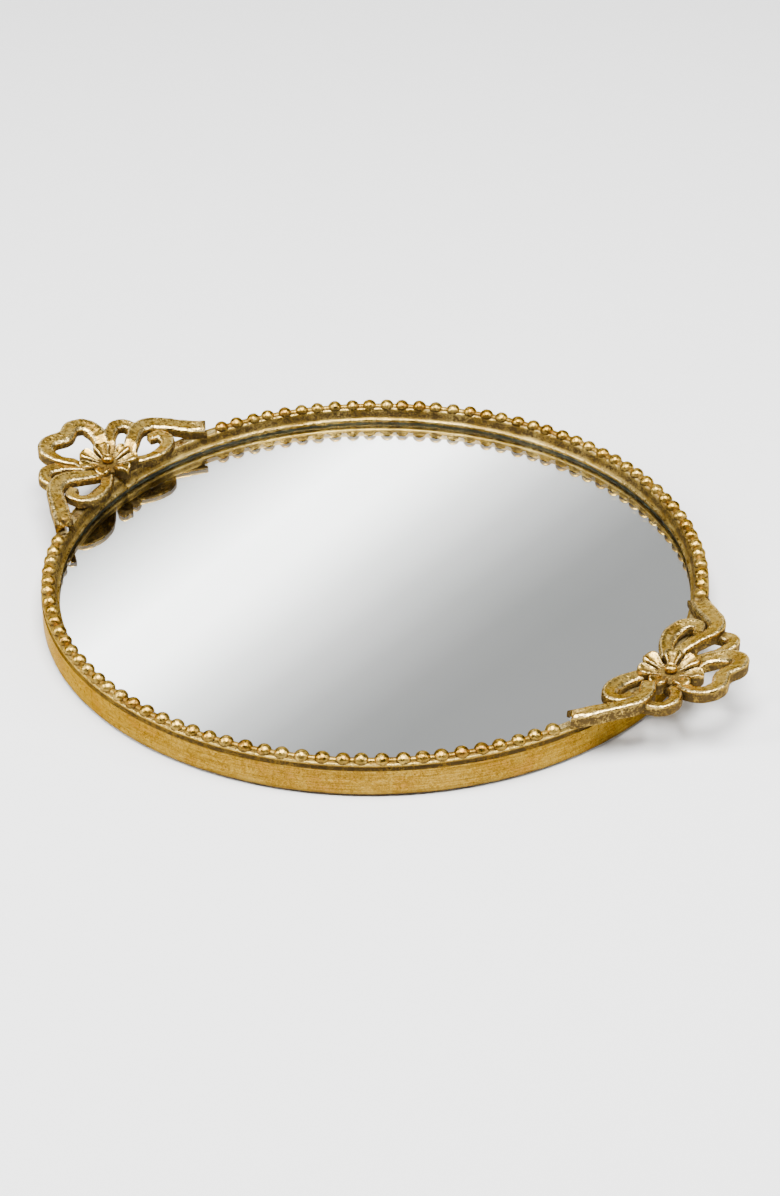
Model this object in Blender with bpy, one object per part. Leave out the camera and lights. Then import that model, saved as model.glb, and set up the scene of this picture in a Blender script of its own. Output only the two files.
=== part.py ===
"""Round mirrored vanity tray with a beaded gilt rim and two ribbon-bow handles.

The tray lies on its felt base in the XY plane, origin at the middle of the base, +Z up.
The bows lie on the X axis: the east bow at +X, the west bow turned half a turn about Z.
All lengths below are in millimetres and become metres when a mesh is made.
"""
import math

import bmesh
import bpy
import numpy as np

MM = 0.001
GAP = 0.3                     # clearance between neighbouring pieces

# Rim, as radii from the tray's axis and heights above the table
SEGMENTS = 72
OUTER_RADIUS = 152.5
BAND_THICKNESS = 2.2
RIM_BOTTOM = 1.3
WALL_TOP = 14.0
ROUND_OVER = 2.6
LIP_RADIUS = 144.2
LIP_TOP = 11.1
LIP_BOTTOM = 10.1
CROWN_INNER = 146.4
CROWN_TOP = WALL_TOP + ROUND_OVER
REBATE_RADIUS = 145.7
# Cove between crown and lip: radius, height below CROWN_TOP
COVE = [(145.9, 0.9), (145.5, 3.0), (145.1, 4.6)]

# Stack held in the rim, from the table up
FELT_THICKNESS = 1.0
FELT_RADIUS = 150.8
BOARD_BOTTOM = 2.9
BOARD_THICKNESS = 2.6
PAD_THICKNESS = 0.7
GLASS_THICKNESS = 3.0
GLASS_TOP = LIP_BOTTOM - GAP
STACK_RADIUS = REBATE_RADIUS - GAP

# Glazing points that hold the stack in
POINT_COUNT = 6
POINT_WIDTH = 8.0
POINT_LENGTH = 9.0
POINT_THICKNESS = 0.6
POINT_DEPTH = 2.2             # how far a point is driven into the moulding

# Bead rows
BEAD_CIRCLE = 149.0
BEAD_BASE = CROWN_TOP + GAP
BEAD_HEIGHT = 2.8
BEAD_RADIUS = 3.1
CORD_RADIUS = 1.4
CORD_HEIGHT = 1.2
BEADS_PER_ROW = 41
BEAD_PITCH = math.radians(3.245)
SHOULDER_PLACE = 0.66         # distance from a bead's middle, as a share of its radius
SHOULDER_SIZE = 0.75          # size of the section there, as a share of the middle's

# Bow: across (t) and out (r) from the tray's axis, heights above BOW_DATUM
BOW_DATUM = 17.7
BOW_FLOOR = CROWN_TOP + GAP - BOW_DATUM   # lowest level of a bow piece above the rim
RIM_REACH = OUTER_RADIUS + 0.8            # a piece outside this radius may hang lower
BOW_CENTRE = (2.0, 157.0)
PATH_STEPS = 3                # stations between two control points
# Ribbon section: place across the width, drop below the top (None at the underside)
SECTION = [(-0.5, None), (-0.5, 1.1), (-0.28, 0.0), (0.28, 0.0), (0.5, 1.1), (0.5, None)]
NOTCH = 3.0                   # depth of the fishtail cut in a tail's end
NOTCH_REACH = 5.0             # length of tail over which the cut fades in
# Rows: across, out, top height, width, wall height, bank (outer edge above inner edge)
CROWN_HALF = [
    (0.0, 181.4, 11.0, 7.7, 5.0, 2.0),
    (8.4, 184.0, 11.2, 7.7, 5.0, 2.0),
    (14.1, 181.5, 10.5, 8.2, 5.0, 2.0),
    (15.0, 174.3, 8.5, 8.0, 5.0, 2.0),
    (10.8, 167.0, 6.6, 7.2, 5.5, 1.0),
    (5.0, 161.0, 5.2, 6.4, 5.5, 0.0),
]
SIDE_PATH = [
    (10.5, 161.5, 4.6, 4.6, 4.6, 0.0),
    (16.0, 167.0, 6.2, 5.6, 4.6, 1.0),
    (21.1, 170.4, 7.2, 6.0, 4.6, 1.5),
    (26.1, 171.4, 7.6, 6.2, 4.6, 2.0),
    (30.3, 169.2, 7.0, 6.2, 4.6, 1.5),
    (31.4, 164.6, 6.2, 5.8, 4.6, 1.0),
    (31.2, 160.0, 5.6, 5.0, 4.6, 0.0),
]
TAIL_PATH = [
    (8.0, 152.4, 4.6, 6.0, 5.0, 0.0),
    (14.0, 153.8, 5.8, 6.5, 5.0, 0.5),
    (21.0, 156.7, 7.4, 7.0, 5.0, 1.5),
    (28.6, 159.8, 8.3, 7.4, 5.0, 2.0),
    (35.8, 158.3, 8.1, 8.0, 5.5, 2.0),
    (41.6, 152.6, 7.0, 8.5, 5.5, 2.0),
    (47.8, 145.2, 5.2, 9.0, 5.5, 1.5),
    (54.7, 137.6, 3.6, 9.0, 5.5, 1.5),
]
INNER_PATH = [
    (7.0, 150.0, 3.4, 6.0, 4.0, 0.0),
    (17.0, 143.8, 3.4, 6.8, 4.0, 1.0),
    (26.0, 142.2, 3.8, 7.4, 4.0, 1.0),
    (32.8, 144.8, 4.6, 7.0, 4.0, 1.0),
    (33.8, 150.4, 5.4, 6.2, 4.0, 1.0),
    (28.8, 153.0, 5.4, 5.0, 4.0, 0.0),
]
CROWN_HEART = (0.0, 172.0)    # a point inside each curve, so that bank lifts its outer edge
SIDE_HEART = (25.0, 160.0)
TAIL_HEART = (34.0, 145.0)
INNER_HEART = (27.0, 148.0)

# Flower at the middle of the bow
PETALS = 7
PETAL_STEPS = 6
PETAL_RADIUS = 14.8
VALLEY_RADIUS = 11.4
PETAL_TOP = 6.0
PETAL_LIP = 1.2               # drop from the petals' crest to their tips
CREST_SHARE = 0.9             # share of the outline where the crest runs
BASIN_SHARE = 0.66            # share of the outline where the cupped middle starts
LOBE_POWER = 0.7              # below 1 rounds the petals' ends
FLOWER_HEART_TOP = 2.4
ROOM = 8.0                    # how far a cutter reaches past the piece that it makes room for
RIVET_HOLE = 2.0
RIVET_SHANK = 1.7
RIVET_HEAD = 2.8
RIVET_STEPS = 16
# Rolled head: radius, height above the head's underside
RIVET_CROWN = [(0.7, 1.6), (1.6, 2.9), (2.4, 2.5), (RIVET_HEAD, 1.2), (2.4, 0.0)]
PEEN_RADIUS = 2.6
PEEN_HEIGHT = 0.8

# Screws driven up through the moulding into each bow
SCREW_CIRCLE = 147.95
SCREW_RADIUS = 1.0
SCREW_HEAD = 1.5
SCREW_HEAD_HEIGHT = 1.2
SCREW_TIP = 19.6
SCREW_POINT = 1.0             # height of the screw's taper
SCREW_STEPS = 12
TAIL_SCREW_TURN = math.radians(20.9)
SCREW_TURNS = (-TAIL_SCREW_TURN, 0.0, TAIL_SCREW_TURN)


def clear_scene():
    for obj in list(bpy.data.objects):
        bpy.data.objects.remove(obj, do_unlink=True)


def material(name, colour, roughness, metallic):
    mat = bpy.data.materials.new(name)
    mat.use_nodes = True
    shader = mat.node_tree.nodes["Principled BSDF"]
    shader.inputs["Base Color"].default_value = (*colour, 1.0)
    shader.inputs["Roughness"].default_value = roughness
    shader.inputs["Metallic"].default_value = metallic
    return mat


def add_object(name, bm, mat, smooth=True):
    """Turn a bmesh in millimetres into a closed object in metres."""
    bmesh.ops.recalc_face_normals(bm, faces=bm.faces)
    bmesh.ops.scale(bm, vec=(MM, MM, MM), verts=bm.verts)
    mesh = bpy.data.meshes.new(name)
    bm.to_mesh(mesh)
    bm.free()
    if smooth:
        mesh.shade_smooth()
        mesh.set_sharp_from_angle(angle=math.radians(35))
    mesh.materials.append(mat)
    obj = bpy.data.objects.new(name, mesh)
    bpy.context.collection.objects.link(obj)
    return obj


def add_cutter(name, bm):
    obj = add_object(name, bm, bpy.data.materials["cutter"], smooth=False)
    obj.hide_render = True
    obj.display_type = "WIRE"
    return obj


def cut(obj, *cutters):
    for cutter in cutters:
        boolean = obj.modifiers.new(f"less_{cutter.name}", "BOOLEAN")
        boolean.operation = "DIFFERENCE"
        boolean.object = cutter


def loft(rings, closed=False):
    """Skin rings of equal length; an open loft gets a fan of triangles on each end."""
    bm = bmesh.new()
    loops = [[bm.verts.new(point) for point in ring] for ring in rings]
    count = len(loops)
    for i in range(count if closed else count - 1):
        near, far = loops[i], loops[(i + 1) % count]
        for j in range(len(near)):
            k = (j + 1) % len(near)
            bm.faces.new((near[j], near[k], far[k], far[j]))
    if not closed:
        for loop in (loops[0], loops[-1]):
            middle = bm.verts.new(sum((v.co for v in loop), loop[0].co * 0) / len(loop))
            for j in range(len(loop)):
                bm.faces.new((loop[j], loop[(j + 1) % len(loop)], middle))
    return bm


def turned(profile, segments=SEGMENTS):
    """Turn a closed outline of (radius, height) points about Z."""
    rings = []
    for i in range(segments):
        turn = math.tau * i / segments
        rings.append([(r * math.cos(turn), r * math.sin(turn), z) for r, z in profile])
    return loft(rings, closed=True)


def cylinder(radius, low, high, centre=(0.0, 0.0), segments=SEGMENTS):
    rings = []
    for z in (low, high):
        rings.append([(centre[0] + radius * math.cos(math.tau * i / segments),
                       centre[1] + radius * math.sin(math.tau * i / segments), z)
                      for i in range(segments)])
    return loft(rings)


def arc(centre, radius, start, end, steps):
    """Points from angle start to angle end, in degrees, both ends included."""
    angles = [math.radians(start + (end - start) * i / steps) for i in range(steps + 1)]
    return [(centre[0] + radius * math.cos(a), centre[1] + radius * math.sin(a)) for a in angles]


# ---- rim, stack and base ----------------------------------------------------------------

def build_band(mat):
    """The outer strip: a flat wall whose top edge is rolled over towards the beads."""
    inner = OUTER_RADIUS - BAND_THICKNESS
    profile = [(inner, RIM_BOTTOM), (OUTER_RADIUS, RIM_BOTTOM)]
    profile += arc((OUTER_RADIUS - ROUND_OVER, WALL_TOP), ROUND_OVER, 0, 80, 3)
    profile += [(inner, CROWN_TOP)]
    add_object("outer_band", turned(profile), mat)


def moulding_profile():
    outer = OUTER_RADIUS - BAND_THICKNESS - GAP
    cove = [(radius, CROWN_TOP - below) for radius, below in COVE]
    return [(REBATE_RADIUS, RIM_BOTTOM), (outer, RIM_BOTTOM), (outer, CROWN_TOP),
            (CROWN_INNER, CROWN_TOP), *cove, (LIP_RADIUS, LIP_TOP), (LIP_RADIUS, LIP_BOTTOM),
            (REBATE_RADIUS, LIP_BOTTOM)]


def radial_box(turn, near, far, width, low, high):
    """A box that lies along a radius, from near to far."""
    rings = []
    for radius in (near, far):
        ring = []
        for side, z in ((-0.5, low), (0.5, low), (0.5, high), (-0.5, high)):
            x, y = radius, side * width
            ring.append((x * math.cos(turn) - y * math.sin(turn),
                         x * math.sin(turn) + y * math.cos(turn), z))
        rings.append(ring)
    return loft(rings)


def merged(parts):
    """Join separate bmeshes into one, as separate solids."""
    whole = bmesh.new()
    for part in parts:
        mesh = bpy.data.meshes.new("piece")
        part.to_mesh(mesh)
        part.free()
        whole.from_mesh(mesh)
        bpy.data.meshes.remove(mesh)
    return whole


def point_turns():
    return [math.tau * (i + 0.5) / POINT_COUNT for i in range(POINT_COUNT)]


def screw_places():
    """Centres of the bow screws as (x, y)."""
    places = []
    for bow_turn in (0.0, math.pi):
        for turn in SCREW_TURNS:
            places.append((SCREW_CIRCLE * math.cos(bow_turn + turn),
                           SCREW_CIRCLE * math.sin(bow_turn + turn)))
    return places


def build_moulding(mat):
    """The inner strip: crown, cove and lip, with a slot for each glazing point."""
    point_top = BOARD_BOTTOM - GAP
    slots = merged([radial_box(turn, REBATE_RADIUS - 1.0, REBATE_RADIUS + POINT_DEPTH + GAP,
                               POINT_WIDTH + 2 * GAP, point_top - POINT_THICKNESS - GAP,
                               point_top + GAP) for turn in point_turns()])
    holes = merged([cylinder(SCREW_RADIUS + GAP, 0.0, CROWN_TOP + 1, place, SCREW_STEPS)
                    for place in screw_places()])
    counterbores = merged([cylinder(SCREW_HEAD + GAP, 0.0, RIM_BOTTOM + SCREW_HEAD_HEIGHT + GAP,
                                    place, SCREW_STEPS) for place in screw_places()])
    moulding = add_object("rim_moulding", turned(moulding_profile()), mat)
    cut(moulding, add_cutter("point_slots", slots), add_cutter("screw_holes", holes),
        add_cutter("screw_counterbores", counterbores))


def build_points(mat):
    top = BOARD_BOTTOM - GAP
    start = REBATE_RADIUS + POINT_DEPTH - POINT_LENGTH
    for number, turn in enumerate(point_turns(), 1):
        bm = radial_box(turn, start, REBATE_RADIUS + POINT_DEPTH, POINT_WIDTH,
                        top - POINT_THICKNESS, top)
        add_object(f"glazing_point_{number}", bm, mat, smooth=False)


def build_stack(felt, board, pad, mirror):
    add_object("base_felt", cylinder(FELT_RADIUS, 0.0, FELT_THICKNESS), felt)
    board_top = BOARD_BOTTOM + BOARD_THICKNESS
    add_object("backing_board", cylinder(STACK_RADIUS, BOARD_BOTTOM, board_top), board)
    glass_bottom = GLASS_TOP - GLASS_THICKNESS
    pad_bottom = board_top + GAP
    pad_top = min(pad_bottom + PAD_THICKNESS, glass_bottom - GAP)
    add_object("cushion_sheet", cylinder(STACK_RADIUS, pad_bottom, pad_top), pad)
    add_object("mirror_plate", cylinder(STACK_RADIUS, glass_bottom, GLASS_TOP), mirror)


# ---- bead rows --------------------------------------------------------------------------

def bead_station(turn, half_width, height):
    """A half-round section across the rim, standing on the crown."""
    ring = []
    for angle in (0, 45, 90, 135, 180):
        a = math.radians(angle)
        r = BEAD_CIRCLE + half_width * math.cos(a)
        ring.append((r * math.cos(turn), r * math.sin(turn), BEAD_BASE + height * math.sin(a)))
    return ring


def build_bead_rows(mat):
    """Two strips of beads joined by a thin cord, each centred across from the bows."""
    narrow = math.sqrt(1 - (CORD_RADIUS / BEAD_RADIUS) ** 2)
    waist = CORD_RADIUS / BEAD_RADIUS
    shape = [(-narrow, waist), (-SHOULDER_PLACE, SHOULDER_SIZE), (0.0, 1.0),
             (SHOULDER_PLACE, SHOULDER_SIZE), (narrow, waist)]
    for name, centre in (("bead_row_north", math.pi / 2), ("bead_row_south", -math.pi / 2)):
        rings = []
        for i in range(BEADS_PER_ROW):
            turn = centre + (i - (BEADS_PER_ROW - 1) / 2) * BEAD_PITCH
            for along, size in shape:
                station = turn + along * BEAD_RADIUS / BEAD_CIRCLE
                rings.append(bead_station(station, size * BEAD_RADIUS,
                                          max(size * BEAD_HEIGHT, CORD_HEIGHT)))
        add_object(name, loft(rings), mat)


# ---- bows -------------------------------------------------------------------------------

def smooth_path(points, steps=PATH_STEPS):
    """A centripetal Catmull-Rom curve through rows of numbers."""
    rows = np.array(points)
    rows = np.vstack([2 * rows[0] - rows[1], rows, 2 * rows[-1] - rows[-2]])
    curve = []
    for i in range(1, len(rows) - 2):
        before, start, end, after = rows[i - 1:i + 3]
        gaps = [math.sqrt(np.linalg.norm(b[:3] - a[:3])) for a, b in
                ((before, start), (start, end), (end, after))]
        leave = (end - start) - (end - before) / (gaps[0] + gaps[1]) * gaps[1]
        leave += (start - before) / gaps[0] * gaps[1]
        arrive = (end - start) - (after - start) / (gaps[1] + gaps[2]) * gaps[1]
        arrive += (after - end) / gaps[2] * gaps[1]
        for u in np.arange(steps) / steps:
            curve.append((2 * u**3 - 3 * u**2 + 1) * start + (u**3 - 2 * u**2 + u) * leave
                         + (3 * u**2 - 2 * u**3) * end + (u**3 - u**2) * arrive)
    curve.append(rows[-2])
    return np.array(curve)


def mirrored(points):
    return [(-across, *rest) for across, *rest in points]


def bow_to_tray(across, out, height, bow_turn):
    """Bow coordinates to the tray's frame, in millimetres."""
    x = out * math.cos(bow_turn) + across * math.sin(bow_turn)
    y = out * math.sin(bow_turn) - across * math.cos(bow_turn)
    return (x, y, BOW_DATUM + height)


def ribbon(points, heart, bow_turn, grow=0.0, notch=0.0):
    """A strip with a rounded top and upright walls, swept along a path.

    grow swells the strip on every side, to make the cutter that its neighbours need; notch is
    how far the middle of the far end is drawn back."""
    path = smooth_path(points)
    direction = np.gradient(path[:, :2], axis=0)
    direction /= np.linalg.norm(direction, axis=1)[:, None]
    outward = np.stack([direction[:, 1], -direction[:, 0]], axis=1)
    if np.sum((path[:, :2] - np.array(heart)) * outward) < 0:
        outward = -outward
    lengths = np.linalg.norm(np.diff(path[:, :2], axis=0), axis=1)
    left = np.append(np.cumsum(lengths[::-1])[::-1], 0.0)
    rings = []
    for (across, out, top, width, wall, bank), side, ahead, remaining in zip(
            path, outward, direction, left):
        bottom = top - wall
        reach = math.hypot(across, out) - width / 2
        if reach < RIM_REACH:
            bottom = max(bottom, BOW_FLOOR)
        bottom -= grow
        drawn_back = notch * max(0.0, 1.0 - remaining / NOTCH_REACH)
        ring = []
        for offset, drop in SECTION:
            lateral = offset * (width + 2 * grow)
            back = drawn_back * (1.0 - 2.0 * abs(offset))
            height = bottom if drop is None else top + grow - drop + offset * bank
            ring.append(bow_to_tray(across + side[0] * lateral - ahead[0] * back,
                                    out + side[1] * lateral - ahead[1] * back,
                                    height, bow_turn))
        rings.append(ring)
    return loft(rings)


def petal_edge(angle, grow=0.0):
    """Radius of the flower's outline at an angle about its own centre."""
    lobe = abs(math.cos(PETALS * angle / 2)) ** LOBE_POWER
    return VALLEY_RADIUS + (PETAL_RADIUS - VALLEY_RADIUS) * lobe + grow


def flower_ring(scale, height, bow_turn, radius=None, grow=0.0):
    ring = []
    count = PETALS * PETAL_STEPS
    for i in range(count):
        angle = math.tau * i / count
        r = radius if radius is not None else petal_edge(angle, grow) * scale
        ring.append(bow_to_tray(BOW_CENTRE[0] + r * math.cos(angle),
                                BOW_CENTRE[1] + r * math.sin(angle), height, bow_turn))
    return ring


def flower(bow_turn):
    """Cupped petals round a bored centre; the underside is flat and rests on the rim."""
    rings = [
        flower_ring(1.0, BOW_FLOOR, bow_turn),
        flower_ring(1.0, PETAL_TOP - PETAL_LIP, bow_turn),
        flower_ring(CREST_SHARE, PETAL_TOP, bow_turn),
        flower_ring(BASIN_SHARE, FLOWER_HEART_TOP + GAP, bow_turn),
        flower_ring(1.0, FLOWER_HEART_TOP, bow_turn, radius=RIVET_HOLE),
        flower_ring(1.0, BOW_FLOOR, bow_turn, radius=RIVET_HOLE),
    ]
    return loft(rings, closed=True)


def rivet(bow_turn):
    """A tubular rivet: a rolled head with a dimple, a shank and a peened end."""
    head_low = FLOWER_HEART_TOP + GAP
    foot_high = BOW_FLOOR - GAP
    profile = [(r, head_low + above) for r, above in RIVET_CROWN]
    profile += [(RIVET_SHANK, head_low), (RIVET_SHANK, foot_high),
                (PEEN_RADIUS, foot_high), (PEEN_RADIUS - 0.2, foot_high - PEEN_HEIGHT)]
    turns = [math.tau * i / RIVET_STEPS for i in range(RIVET_STEPS)]
    rings = []
    for r, height in profile:
        rings.append([bow_to_tray(BOW_CENTRE[0] + r * math.cos(turn),
                                  BOW_CENTRE[1] + r * math.sin(turn), height, bow_turn)
                      for turn in turns])
    return loft(rings)


def handed(points, heart, hand):
    """A path and its heart on one side of the bow's axis."""
    if hand == "left":
        return mirrored(points), (-heart[0], heart[1])
    return points, heart


def build_bow(side, bow_turn, gilt, brass):
    """One bow: a flower, its rivet and seven lengths of ribbon that meet round the flower."""
    crown_path = [*reversed(CROWN_HALF), *mirrored(CROWN_HALF)[1:]]
    flower_room = add_cutter(f"flower_room_{side}", loft([
        flower_ring(1.0, BOW_FLOOR - ROOM, bow_turn, grow=GAP),
        flower_ring(1.0, PETAL_TOP + ROOM, bow_turn, grow=GAP)]))
    crown_room = add_cutter(f"crown_room_{side}",
                            ribbon(crown_path, CROWN_HEART, bow_turn, GAP))
    holes = add_cutter(f"bow_holes_{side}", merged([
        cylinder(SCREW_RADIUS + GAP, CROWN_TOP - 1, SCREW_TIP + GAP,
                 (SCREW_CIRCLE * math.cos(bow_turn + turn),
                  SCREW_CIRCLE * math.sin(bow_turn + turn)), SCREW_STEPS)
        for turn in SCREW_TURNS]))

    cut(add_object(f"bow_flower_{side}", flower(bow_turn), gilt), holes)
    add_object(f"flower_rivet_{side}", rivet(bow_turn), brass)
    crown = add_object(f"crown_loop_{side}", ribbon(crown_path, CROWN_HEART, bow_turn), gilt)
    cut(crown, flower_room)

    for hand in ("left", "right"):
        tail_path, heart = handed(TAIL_PATH, TAIL_HEART, hand)
        tail_room = add_cutter(f"tail_room_{side}_{hand}",
                               ribbon(tail_path, heart, bow_turn, grow=GAP))
        tail = add_object(f"ribbon_tail_{side}_{hand}",
                          ribbon(tail_path, heart, bow_turn, notch=NOTCH), gilt)
        cut(tail, flower_room, holes)
        loop = add_object(f"side_loop_{side}_{hand}",
                          ribbon(*handed(SIDE_PATH, SIDE_HEART, hand), bow_turn), gilt)
        cut(loop, flower_room, crown_room, tail_room)
        inner = add_object(f"inner_loop_{side}_{hand}",
                           ribbon(*handed(INNER_PATH, INNER_HEART, hand), bow_turn), gilt)
        cut(inner, flower_room, tail_room)


def build_screws(mat):
    for number, place in enumerate(screw_places(), 1):
        head_top = RIM_BOTTOM + SCREW_HEAD_HEIGHT
        rings = []
        for radius, z in ((SCREW_HEAD, RIM_BOTTOM), (SCREW_HEAD, head_top),
                          (SCREW_RADIUS, head_top), (SCREW_RADIUS, SCREW_TIP - SCREW_POINT),
                          (SCREW_RADIUS * 0.4, SCREW_TIP)):
            rings.append([(place[0] + radius * math.cos(math.tau * i / SCREW_STEPS),
                           place[1] + radius * math.sin(math.tau * i / SCREW_STEPS), z)
                          for i in range(SCREW_STEPS)])
        add_object(f"bow_screw_{number}", loft(rings), mat)


def main():
    clear_scene()
    material("cutter", (0.5, 0.5, 0.5), 0.5, 0.0)
    gilt = material("antique_gilt", (0.52, 0.34, 0.09), 0.38, 1.0)
    brass = material("aged_brass", (0.5, 0.33, 0.1), 0.35, 1.0)
    steel = material("zinc_steel", (0.55, 0.55, 0.56), 0.4, 1.0)
    felt = material("brown_felt", (0.05, 0.035, 0.025), 0.95, 0.0)
    board = material("hardboard", (0.2, 0.12, 0.06), 0.8, 0.0)
    pad = material("grey_foam", (0.35, 0.35, 0.35), 0.9, 0.0)
    mirror = material("silvered_glass", (0.8, 0.81, 0.82), 0.02, 1.0)

    build_stack(felt, board, pad, mirror)
    build_band(gilt)
    build_moulding(gilt)
    build_points(steel)
    build_bead_rows(gilt)
    build_bow("east", 0.0, gilt, brass)
    build_bow("west", math.pi, gilt, brass)
    build_screws(steel)


main()
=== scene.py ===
"""Looks of the round mirrored vanity tray with a beaded gilt rim and two ribbon-bow handles.

Shapes are built in millimetres in the frame's own axes, with +Z up and the bows on the X axis,
and become metres when a mesh is made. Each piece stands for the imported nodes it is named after.
"""
import math
import random

import bmesh
import bpy
import numpy as np
from mathutils import Matrix, Vector, noise


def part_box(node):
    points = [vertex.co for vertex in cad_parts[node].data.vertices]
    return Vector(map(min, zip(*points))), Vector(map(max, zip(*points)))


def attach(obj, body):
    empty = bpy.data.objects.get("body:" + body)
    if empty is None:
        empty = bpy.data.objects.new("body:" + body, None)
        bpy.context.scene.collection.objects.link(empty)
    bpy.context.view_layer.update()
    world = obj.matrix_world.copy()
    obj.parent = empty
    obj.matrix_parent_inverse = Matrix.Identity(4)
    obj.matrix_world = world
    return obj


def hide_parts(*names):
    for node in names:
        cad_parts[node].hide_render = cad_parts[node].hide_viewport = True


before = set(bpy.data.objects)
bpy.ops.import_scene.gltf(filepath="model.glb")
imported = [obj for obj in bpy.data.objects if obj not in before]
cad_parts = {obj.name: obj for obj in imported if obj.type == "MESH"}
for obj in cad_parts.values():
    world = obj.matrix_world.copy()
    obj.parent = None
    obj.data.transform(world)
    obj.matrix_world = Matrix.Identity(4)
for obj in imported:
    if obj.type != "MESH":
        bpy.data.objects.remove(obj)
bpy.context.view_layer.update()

MM = 0.001
NOISE_SEED = 7

# Vector noise starts from the clock unless it is given a seed
noise.seed_set(NOISE_SEED)


def top_of(node):
    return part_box(node)[1].z / MM


def bottom_of(node):
    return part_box(node)[0].z / MM


def radius_of(node):
    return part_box(node)[1].x / MM


# Rim sizes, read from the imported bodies, with the finer sizes of the real mouldings
OUTER_RADIUS = radius_of("outer_band")
CROWN_TOP = top_of("rim_moulding")
RIM_BOTTOM = bottom_of("outer_band")
GLASS_TOP = top_of("mirror_plate")
GLASS_BOTTOM = bottom_of("mirror_plate")
GLASS_RADIUS = radius_of("mirror_plate")
FELT_TOP = top_of("base_felt")
FELT_RADIUS = radius_of("base_felt")
ROUND_OVER = 2.6
BAND_INNER = OUTER_RADIUS - 2.2
MOULDING_OUTER = BAND_INNER - 0.2
REBATE_RADIUS = GLASS_RADIUS + 0.3
LIP_RADIUS = 144.2
LIP_GAP = 0.1
SILVER_THICKNESS = 0.2
DISC_STEPS = 240
PLATE_CREASE = 20
TURN_STEPS = 480
# The joint in the inner strip: turn, half width in radians and depth, and the groove's section
STRIP_JOINT = (math.pi, 0.0034, 0.3)
JOINT_FALL = ((-1.0, 0.0), (-0.5, 0.7), (0.0, 1.0), (0.5, 0.7), (1.0, 0.0))
JOINT_RECESS = 1.5
# The side of the rim near the camera, where the painted shade and dark reflection at the band's foot
# and in its groove are strongest, and how far they thin out opposite
PAINTED_SHADE_SIDE = math.radians(-40)
PAINTED_SHADE_FADE = 0.9

# Bead rows; the foot and the pole are where a bead's rings start and stop, as angles up its side
BEAD_CIRCLE = 149.0
BEADS_PER_ROW = 41
BEAD_PITCH = math.radians(3.245)
BEAD_RADIUS = 3.4
BEAD_CENTRE = CROWN_TOP + 0.3
BEAD_FOOT = -0.2
BEAD_POLE = math.pi / 2 - 0.12
BEAD_AROUND = 22
BEAD_UP = 9
CORD_RADIUS = 1.35
CORD_HEIGHT = 1.1
CORD_STEPS = 200
# The cord under and between the beads is darkened: toning and painted shade
CORD_TONING_AND_SHADE = 0.3

# Bows: rows of across, out, top height, width, wall height, bank; heights above BOW_DATUM. The
# rows are set and adjusted.
BOW_DATUM = CROWN_TOP + 1.1
BOW_FLOOR = CROWN_TOP + 0.15 - BOW_DATUM
RIM_REACH = OUTER_RADIUS + 0.8
BOW_CENTRE = (2.0, 157.0)
CROWN_HALF = [
    (0.0, 181.4, 11.0, 7.7, 5.0, 2.0),
    (8.4, 184.0, 11.2, 7.7, 5.0, 2.0),
    (14.1, 181.5, 10.5, 8.2, 5.0, 2.0),
    (15.0, 174.3, 8.5, 8.0, 5.0, 2.0),
    (10.8, 167.0, 6.6, 7.2, 5.5, 1.0),
    (5.0, 161.0, 5.2, 6.4, 5.5, 0.0),
]
SIDE_PATH = [
    (10.5, 161.5, 4.6, 4.6, 4.6, 0.0),
    (16.0, 167.0, 6.2, 5.6, 4.6, 1.0),
    (21.1, 170.4, 7.2, 6.0, 4.6, 1.5),
    (26.1, 171.4, 7.6, 6.2, 4.6, 2.0),
    (30.3, 169.2, 7.0, 6.2, 4.6, 1.5),
    (31.4, 164.6, 6.2, 5.8, 4.6, 1.0),
    (31.2, 160.0, 5.6, 5.0, 4.6, 0.0),
]
TAIL_PATH = [
    (8.0, 152.4, 4.6, 6.0, 5.0, 0.0),
    (14.0, 153.8, 5.8, 6.5, 5.0, 0.5),
    (21.0, 156.7, 7.4, 7.0, 5.0, 1.5),
    (28.6, 159.8, 8.3, 7.4, 5.0, 2.0),
    (35.8, 158.3, 8.1, 8.0, 5.5, 2.0),
    (41.6, 152.6, 7.0, 8.5, 5.5, 2.0),
    (47.8, 145.2, 5.2, 9.0, 5.5, 1.5),
    (54.7, 137.6, 3.6, 9.0, 5.5, 1.5),
]
INNER_PATH = [
    (7.0, 150.0, 3.4, 6.0, 4.0, 0.0),
    (17.0, 143.8, 3.4, 6.8, 4.0, 1.0),
    (26.0, 142.2, 3.8, 7.4, 4.0, 1.0),
    (32.8, 144.8, 4.6, 7.0, 4.0, 1.0),
    (33.8, 150.4, 5.4, 6.2, 4.0, 1.0),
    (28.8, 153.0, 5.4, 5.0, 4.0, 0.0),
]
CROWN_HEART = (0.0, 172.0)
SIDE_HEART = (25.0, 160.0)
TAIL_HEART = (34.0, 145.0)
INNER_HEART = (27.0, 148.0)
PATH_STEPS = 12
# Ribbons dive under the flower: the distance from its centre where they start to rise again, the
# distance over which they do, and the height that they rise from and by
DIVE_RADIUS = 9.5
DIVE_FADE = 7.5
DIVE_TOP = 1.3
DIVE_RISE = 5.5
# The free end of a tail: how far back its flutes and its notch begin, and how deep they are
FLUTE_REACH = 9.0
FLUTE_DEPTH = 2.0
FLUTE_LIFT = 0.6
NOTCH_REACH = 5.0
NOTCH_DEPTH = 4.4

PETALS = 7
PETAL_START = 2.6
PETAL_REACH = 15.2
PETAL_WIDTH = 4.35
PETAL_BASE = 2.2
PETAL_LIFT = 4.1
PETAL_CUP = 2.1
PETAL_DROOP = 1.6
PETAL_STAGGER = 0.05
RIVET_HEAD = 2.85
RIVET_SEAT = 3.1

# Hand finish: the size of the swells and how far they move the surface
BEAD_FINISH = (2.4, 0.08)
RIBBON_FINISH = (4.5, 0.22)
FLOWER_FINISH = (3.4, 0.16)
RIVET_FINISH = (2.0, 0.06)
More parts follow.
